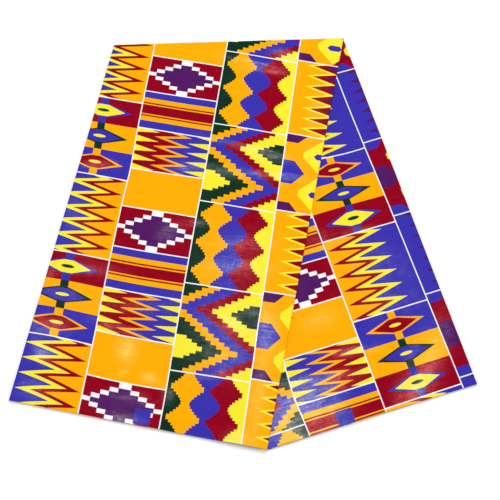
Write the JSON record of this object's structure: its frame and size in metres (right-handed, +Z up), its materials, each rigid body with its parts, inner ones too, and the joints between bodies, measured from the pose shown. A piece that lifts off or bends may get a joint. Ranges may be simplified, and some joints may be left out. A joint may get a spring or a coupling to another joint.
{
  "type": "folded ankara wax print cloth",
  "caption": "Folded length of printed cotton cloth that lies flat, turned over once at a slanting crease so that its two ends fan apart.",
  "frame": {"origin": "under the middle of the folded cloth, on the surface that it lies on", "axes": "+X along the crease to the right, +Y from the cut edges towards the crease, +Z up from the surface"},
  "size_m": [0.525, 0.5152, 0.0082],
  "materials": {
    "printed_cloth": "glossy calendered cotton, wax print",
    "layer_edges": "cut edges of the same printed cotton"
  },
  "bodies": {
    "root": {"front_panel": "printed_cloth", "back_panel": "printed_cloth", "front_hidden_layers": "layer_edges", "back_hidden_layers": "layer_edges"}
  },
  "joints": []
}
